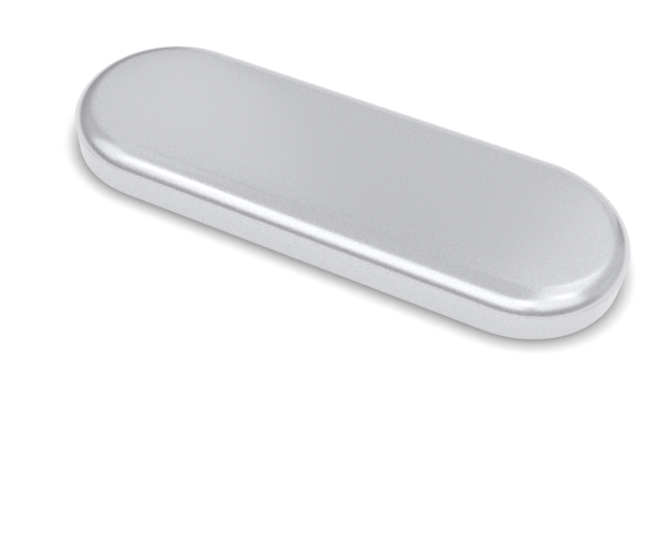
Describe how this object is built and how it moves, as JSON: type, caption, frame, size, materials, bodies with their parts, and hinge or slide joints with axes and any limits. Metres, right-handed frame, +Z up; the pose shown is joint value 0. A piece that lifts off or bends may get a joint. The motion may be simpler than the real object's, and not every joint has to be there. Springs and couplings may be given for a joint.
{
  "type": "metal pencil case",
  "caption": "Flat metal pencil case with a stadium outline, a hinged crowned lid with rounded shoulders, and a troughed tray inside.",
  "frame": {"origin": "under the middle of the case, on the surface that it rests on", "axes": "+X along the case to the right, +Y from the front to the hinged back, +Z up"},
  "size_m": [0.2, 0.0707, 0.018],
  "materials": {
    "satin_metal": "satin silver with a very fine random grain",
    "hinge_steel": "bright nickel-plated steel strip and wire",
    "flocked_tray": "black flocked thin moulding",
    "lid_pad": "black woven cloth over thin foam"
  },
  "bodies": {
    "base": {"base_shell": "satin_metal", "hinge_leaf_base_left": "hinge_steel", "hinge_leaf_base_right": "hinge_steel", "hinge_pin_left": "hinge_steel", "hinge_pin_right": "hinge_steel", "pen_tray": "flocked_tray"},
    "lid": {"lid_shell": "satin_metal", "hinge_leaf_lid_left": "hinge_steel", "hinge_leaf_lid_right": "hinge_steel", "lid_pad": "lid_pad"}
  },
  "joints": [
    {"name": "lid_hinge", "type": "hinge", "parent": "base", "child": "lid", "pos_m": [0, 0.0348, 0.0114], "axis": [-1, 0, 0], "range_deg": [0, 115]}
  ]
}
